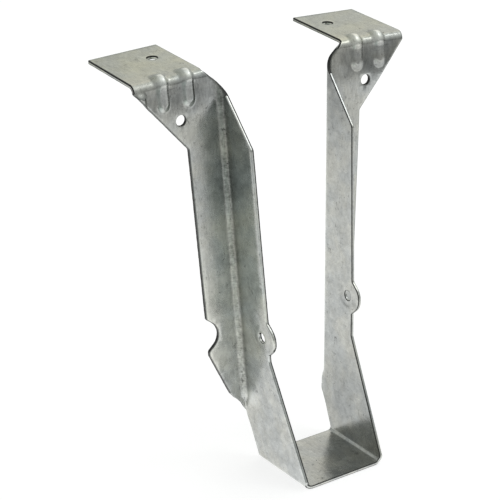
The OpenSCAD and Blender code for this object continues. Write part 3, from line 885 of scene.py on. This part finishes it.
class HalfSheet:
    """Adds half of the hanger to a mesh: both faces of the sheet and the sheared edges between them."""

    def __init__(self, bm, layers, leg):
        self.bm = bm
        self.cut, *self.vertex_layers = layers
        self.leg = leg
        self.loops, rim_points = sheet_loops(leg)
        self.last = rim_points - 1
        self.rounding = [leg.s.roll_over] + [leg.s.hole_roll_over] * (len(self.loops) - 1)
        self.outward = [loop_normals(loop) for loop in self.loops]
        # The seat's middle line isn't an edge of the sheet
        rim_outward = self.outward[0]
        for i in (0, self.last):
            rim_outward[i] = Vector((math.copysign(1.0, rim_outward[i].x), 0.0))
        for i in range(rim_points, len(self.loops[0])):
            rim_outward[i] = Vector((0.0, 0.0))
        self.inner = [[p - n * r for p, n in zip(loop, normals)]
                      for loop, normals, r in zip(self.loops, self.outward, self.rounding)]
        boundary = [p for loop in self.inner for p in loop]
        self.near = KDTree(len(boundary))
        for i, p in enumerate(boundary):
            self.near.insert((p.x, p.y, 0), i)
        self.near.balance()

    def from_rim(self, u, v):
        return self.near.find((u, v, 0))[2]

    def point(self, u, v, depth):
        """A point of the finished sheet, with the amounts that its material reads."""
        leg = self.leg
        vert = self.bm.verts.new(on_sheet(leg, u, v, depth))
        outer = depth / leg.s.thickness
        amounts = (leg.fold_amount(u, v), math.exp(-self.from_rim(u, v) / RIM_REACH),
                   outer * leg.hollow_shade_amount(u, v), outer * leg.pressed(u, v))
        for layer, amount in zip(self.vertex_layers, amounts):
            vert[layer] = amount
        return vert

    def triangulated(self):
        """Points and triangles between the inset loops, and which point each point of the loops became."""
        s = self.leg.s
        coordinates = [p for loop in self.inner for p in loop]
        coordinates += [p for p in grid_points(self.leg) if self.from_rim(p.x, p.y) > s.grid * RIM_GAP]
        edges, start = [], 0
        for loop in self.inner:
            edges += [(start + i, start + (i + 1) % len(loop)) for i in range(len(loop))]
            start += len(loop)
        # The triangulation works in millimetres, because its tolerance is absolute
        points, _, triangles, origin, _, _ = delaunay_2d_cdt(
            [p / MM for p in coordinates], edges, [list(range(len(self.inner[0])))], 1, 1e-5)
        hole_reach = (s.nail_d / 2 + s.hole_roll_over) * math.cos(math.pi / HOLE_STEPS)
        centres = self.leg.holes()
        kept = []
        for a, b, c in triangles:
            middle = (points[a] + points[b] + points[c]) / 3 * MM
            if all((middle - centre).length > hole_reach for centre in centres):
                kept.append((a, b, c))
        became = {source: index for index, sources in enumerate(origin) for source in sources}
        return [p * MM for p in points], kept, became

    def face(self, points, triangles, depth):
        """One face of the sheet; returns its points by number."""
        made = {i: self.point(*points[i], depth) for i in {i for triangle in triangles for i in triangle}}
        for a, b, c in triangles:
            order = (a, b, c) if (depth > 0) == (self.leg.side > 0) else (a, c, b)
            self.bm.faces.new([made[i] for i in order])
        return made

    def edge(self, number, first_row, last_row):
        """The sheared edge along one loop, between its rows of points on the two faces."""
        loop = self.loops[number]
        profile = edge_profile(self.leg.s, self.rounding[number])
        rows = [first_row]
        for inside, depth in profile[1:-1]:
            inset = [p - n * inside for p, n in zip(loop, self.outward[number])]
            rows.append([self.point(q.x, q.y, depth) for q in inset])
        rows.append(last_row)
        for k, (low, high) in enumerate(zip(rows, rows[1:])):
            depth = (profile[k][1] + profile[k + 1][1]) / 2
            for i in range(len(loop) if number else self.last):
                j = (i + 1) % len(loop)
                ring = [low[i], low[j], high[j], high[i]]
                if self.leg.side < 0:
                    ring.reverse()
                if len(set(ring)) == 4:
                    self.bm.faces.new(ring)[self.cut] = torn_amount(self.leg, loop[i], depth) if k > 0 else LIP

    def build(self):
        points, triangles, became = self.triangulated()
        faces = [self.face(points, triangles, depth) for depth in (0.0, self.leg.s.thickness)]
        start = 0
        for number, loop in enumerate(self.loops):
            numbers = [became[start + i] for i in range(len(loop))]
            self.edge(number, *([face[i] for i in numbers] for face in faces))
            start += len(loop)


class HANGER_OT_sheet(bpy.types.Operator):
    """Makes the folded sheet with its sheared edges"""

    bl_idname = "hanger.sheet"
    bl_label = "Folded sheet"

    def execute(self, context):
        s = context.scene.hanger_sheet
        bm = bmesh.new()
        layers = [bm.faces.layers.float.new("cut")]
        layers += [bm.verts.layers.float.new(name) for name in ("fold", "rim", "hollow_shade_mask", "pressed")]
        for side in (-1, 1):
            HalfSheet(bm, layers, Leg(s, side)).build()
        bmesh.ops.delete(bm, geom=[v for v in bm.verts if not v.link_faces], context="VERTS")
        bmesh.ops.remove_doubles(bm, verts=bm.verts, dist=WELD)
        bmesh.ops.recalc_face_normals(bm, faces=bm.faces)
        open_edges = sum(1 for e in bm.edges if len(e.link_faces) != 2)
        if open_edges:
            raise RuntimeError(f"the folded sheet has {open_edges} open edges")
        mesh = bpy.data.meshes.new("folded_sheet")
        bm.to_mesh(mesh)
        bm.free()
        mesh.materials.append(galvanised_material(context.scene.hanger_zinc))
        mesh.set_sharp_from_angle(angle=SHARP_ANGLE)
        piece = new_object("folded_sheet", mesh)
        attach(piece, "root")
        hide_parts("hanger")
        return {"FINISHED"}


# ---------------------------------------------------------------- burr


def burr_tree():
    """Node group that lays a tube of uneven thickness along every path it is given."""
    tree = bpy.data.node_groups.new("burr_along_paths", "GeometryNodeTree")
    n = Nodes(tree)
    for name, kind in (("Paths", "Geometry"), ("Radius", "Float"), ("Step", "Float"),
                       ("Unevenness", "Float"), ("Seed", "Int"), ("Material", "Material")):
        tree.interface.new_socket(name, in_out="INPUT", socket_type="NodeSocket" + kind)
    tree.interface.new_socket("Burr", in_out="OUTPUT", socket_type="NodeSocketGeometry")
    given = n.add("NodeGroupInput").outputs
    paths = n.out("GeometryNodeMeshToCurve", {"Mesh": given["Paths"]})
    points = n.out("GeometryNodeResampleCurve", {"Curve": paths, "Length": given["Step"]}, mode="LENGTH")
    place = n.out("GeometryNodeInputPosition")
    bumps = n.out(
        "ShaderNodeTexNoise", {"Vector": place, "W": given["Seed"], "Scale": BURR_BUMPS, "Detail": 2.0},
        noise_dimensions="4D")
    thinned = n.maths("MULTIPLY", n.remap(bumps, *BURR_SHOWN), given["Unevenness"])
    circle = n.out("GeometryNodeCurvePrimitiveCircle", {"Resolution": BURR_SIDES, "Radius": given["Radius"]})
    tube = n.out("GeometryNodeCurveToMesh", {
        "Curve": points, "Profile Curve": circle, "Scale": n.maths("SUBTRACT", 1.0, thinned), "Fill Caps": True})
    torn = n.out(
        "GeometryNodeStoreNamedAttribute", {"Geometry": tube, "Name": "cut", "Value": 1.0},
        data_type="FLOAT", domain="FACE")
    solid = n.out("GeometryNodeRealizeInstances", {0: torn})
    n.add("NodeGroupOutput", {
        0: n.out("GeometryNodeSetMaterial", {"Geometry": solid, "Material": given["Material"]})})
    return tree


def burr(name, paths, tree, **values):
    """One burr piece: the node group run once over the paths and kept as a plain mesh."""
    bm = bmesh.new()
    for path in paths:
        points = [bm.verts.new(p) for p in path]
        for a, b in zip(points, points[1:]):
            bm.edges.new((a, b))
    bmesh.ops.remove_doubles(bm, verts=bm.verts, dist=WELD)
    mesh = bpy.data.meshes.new(name)
    bm.to_mesh(mesh)
    bm.free()
    piece = new_object(name, mesh)
    modifier = piece.modifiers.new("burr", "NODES")
    modifier.node_group = tree
    for item in tree.interface.items_tree:
        if item.in_out == "INPUT" and item.name in values:
            modifier[item.identifier] = values[item.name]
    bpy.context.view_layer.update()
    shaped = piece.evaluated_get(bpy.context.evaluated_depsgraph_get())
    plain = bpy.data.meshes.new_from_object(shaped)
    piece.modifiers.remove(modifier)
    piece.data = plain
    if not plain.polygons:
        raise RuntimeError(f"{name} came out empty")
    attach(piece, "root")


class HANGER_OT_burrs(bpy.types.Operator):
    """Lays the burr along the sheared rim and round the nail holes of the folded sheet"""

    bl_idname = "hanger.burrs"
    bl_label = "Burrs"

    def execute(self, context):
        sheet = bpy.data.objects.get("folded_sheet")
        if sheet is None:
            raise RuntimeError("the burrs need the folded sheet")
        s = context.scene.hanger_burr
        tree = burr_tree()
        rims, holes = [], []
        for side in (-1, 1):
            paths = torn_paths(Leg(context.scene.hanger_sheet, side))
            rims.append(paths[0])
            holes += paths[1:]
        shared = {
            "Step": s.step, "Unevenness": s.unevenness, "Seed": s.seed, "Material": sheet.data.materials[0]}
        burr("rim_burr", rims, tree, Radius=s.rim_burr, **shared)
        burr("hole_burrs", holes, tree, Radius=s.hole_burr, **shared)
        return {"FINISHED"}


# ---------------------------------------------------------------- stage


def camera_matrix(s):
    """Camera to world, from the camera's place, yaw, pitch and roll."""
    level_out = math.cos(s.pitch)
    forward = Vector((-math.sin(s.yaw) * level_out, math.cos(s.yaw) * level_out, math.sin(s.pitch)))
    right = Vector((math.cos(s.yaw), math.sin(s.yaw), 0))
    up = right.cross(forward)
    across = math.cos(s.roll) * right + math.sin(s.roll) * up
    upward = -math.sin(s.roll) * right + math.cos(s.roll) * up
    turn = Matrix((across, upward, -forward)).transposed().to_4x4()
    return Matrix.Translation(Vector(s.position)) @ turn


def shown_rays(n, rays):
    """1 for the rays that show the backdrop: from the camera, off gloss and through glass."""
    seen = n.maths("MAXIMUM", rays["Is Camera Ray"], rays["Is Glossy Ray"])
    return n.maths("MAXIMUM", seen, rays["Is Transmission Ray"])


def spot_share(n, place, spot):
    """1 near a spot's middle and 0 past its end, along the floor."""
    middle = (spot.x, spot.y, CAD_BOX[0][2])
    gap = n.out("ShaderNodeVectorMath", {0: place, 1: middle}, "Value", operation="DISTANCE")
    return n.remap(gap, spot.near, spot.far, 1.0, 0.0)


def diffuse(n, grey):
    return n.out("ShaderNodeBsdfDiffuse", {"Color": (grey, grey, grey, 1)})


def floor_material(settings):
    """Floor that shows white with the object's shadow, and lies in a pool of light for what is mirrored in it."""
    material = bpy.data.materials.new("stage_floor")
    n = nodes_of(material)
    rays = n.add("ShaderNodeLightPath").outputs
    place = n.out("ShaderNodeTexCoord", output="Object")
    pool = n.maths("MULTIPLY", spot_share(n, place, POOL), settings.pool_light)
    for spot in DIM_SPOTS:
        pool = n.maths("MULTIPLY", pool, n.lift(1.0, spot_share(n, place, spot), -spot.change))
    for spot in BRIGHT_SPOTS:
        pool = n.lift(pool, spot_share(n, place, spot), spot.change)
    seen = rays["Is Camera Ray"]
    unseen = n.maths("SUBTRACT", 1.0, seen)
    cool = n.maths("MULTIPLY", unseen, spot_share(n, place, FRONT_LEFT))
    glow = n.out("ShaderNodeEmission", {
        "Strength": n.lift(n.maths("MULTIPLY", unseen, pool), seen, settings.floor_glow),
        "Color": n.mix(cool, WHITE, COOL)})
    lit = n.out("ShaderNodeAddShader", {0: diffuse(n, GLOW_GREY), 1: glow})
    floor = n.out("ShaderNodeMixShader", {0: shown_rays(n, rays), 1: diffuse(n, FLOOR_GREY), 2: lit})
    n.add("ShaderNodeOutputMaterial", {"Surface": floor})
    return material


def room_light(settings):
    """Room of soft light, brighter towards one corner and above the front, that shows white to the camera."""
    world = bpy.data.worlds.new("room")
    n = nodes_of(world)
    direction = n.out("ShaderNodeTexCoord", output="Generated")

    def share_near(towards, low, high):
        """1 where the light comes from near one direction, 0 away from it."""
        sides = {0: direction, 1: Vector(towards).normalized()}
        return n.remap(n.out("ShaderNodeVectorMath", sides, "Value", operation="DOT_PRODUCT"), low, high)

    corner_share = share_near(settings.bright_corner, *CORNER_SHOWN)
    strength = n.remap(corner_share, 0.0, 1.0, settings.room_strength, settings.corner_strength)
    front_share = share_near(settings.key_direction, *FRONT_SHOWN)
    strength = n.lift(strength, front_share, settings.front_strength - settings.room_strength)
    tint = n.mix(corner_share, rgba(settings.room), rgba(settings.corner))
    room = n.out("ShaderNodeBackground", {"Color": tint, "Strength": strength})
    white = n.out("ShaderNodeBackground", {"Color": WHITE})
    seen = n.out("ShaderNodeLightPath", output="Is Camera Ray")
    n.add("ShaderNodeOutputWorld", {"Surface": n.out("ShaderNodeMixShader", {0: seen, 1: room, 2: white})})
    bpy.context.scene.world = world


def soft_lamp(settings):
    """Round lamp that faces the hanger's middle."""
    lamp = bpy.data.lights.new("key", "AREA")
    lamp.shape = "DISK"
    lamp.size = settings.key_size
    lamp.energy = settings.key_power
    obj = link(bpy.data.objects.new("key", lamp))
    away = Vector(settings.key_direction).normalized()
    obj.location = Vector([(a + b) / 2 for a, b in zip(*CAD_BOX)]) + away * settings.key_distance
    obj.rotation_mode = "QUATERNION"
    obj.rotation_quaternion = away.to_track_quat("Z", "Y")


def stage_camera(settings):
    camera = bpy.data.cameras.new("camera")
    camera.sensor_width = 36.0
    camera.lens = settings.lens
    camera.shift_x = settings.shift_x
    camera.shift_y = settings.shift_y
    camera.clip_start, camera.clip_end = CAMERA_CLIP
    obj = link(bpy.data.objects.new("camera", camera))
    obj.matrix_world = camera_matrix(settings)
    bpy.context.scene.camera = obj


class HANGER_OT_stage(bpy.types.Operator):
    """Makes the floor, the light and the camera"""

    bl_idname = "hanger.stage"
    bl_label = "Stage"

    def execute(self, context):
        settings = context.scene.hanger_stage
        low, half = CAD_BOX[0][2], settings.floor_half
        corners = [(-half, -half, low), (half, -half, low), (half, half, low), (-half, half, low)]
        mesh = bpy.data.meshes.new("floor")
        mesh.from_pydata(corners, [], [(0, 1, 2, 3)])
        mesh.materials.append(floor_material(settings))
        new_object("floor", mesh)
        room_light(settings)
        soft_lamp(settings)
        stage_camera(settings)
        context.scene.view_settings.view_transform = "Standard"
        return {"FINISHED"}


class HANGER_PT_panel(bpy.types.Panel):
    """Lists the pieces of the joist hanger"""

    bl_idname = "HANGER_PT_panel"
    bl_label = "Joist Hanger"
    bl_space_type = "VIEW_3D"
    bl_region_type = "UI"
    bl_category = "Joist Hanger"

    def draw(self, context):
        for kind in OPERATORS:
            self.layout.operator(kind.bl_idname)
        for group in GROUPS:
            box = self.layout.box()
            settings = getattr(context.scene, group)
            for name in settings.bl_rna.properties.keys():
                if name not in ("rna_type", "name"):
                    box.prop(settings, name)


GROUPS = {
    "hanger_sheet": HangerSheetSettings,
    "hanger_zinc": HangerZincSettings,
    "hanger_burr": HangerBurrSettings,
    "hanger_stage": HangerStageSettings,
}
OPERATORS = (HANGER_OT_stage, HANGER_OT_sheet, HANGER_OT_burrs)
CLASSES = (*GROUPS.values(), *OPERATORS, HANGER_PT_panel)


def register():
    for kind in CLASSES:
        bpy.utils.register_class(kind)
    for name, kind in GROUPS.items():
        setattr(bpy.types.Scene, name, PointerProperty(type=kind))


def unregister():
    for name in GROUPS:
        delattr(bpy.types.Scene, name)
    for kind in reversed(CLASSES):
        bpy.utils.unregister_class(kind)


def main():
    register()
    bpy.ops.hanger.stage()
    bpy.ops.hanger.sheet()
    bpy.ops.hanger.burrs()


if __name__ == "__main__":
    main()
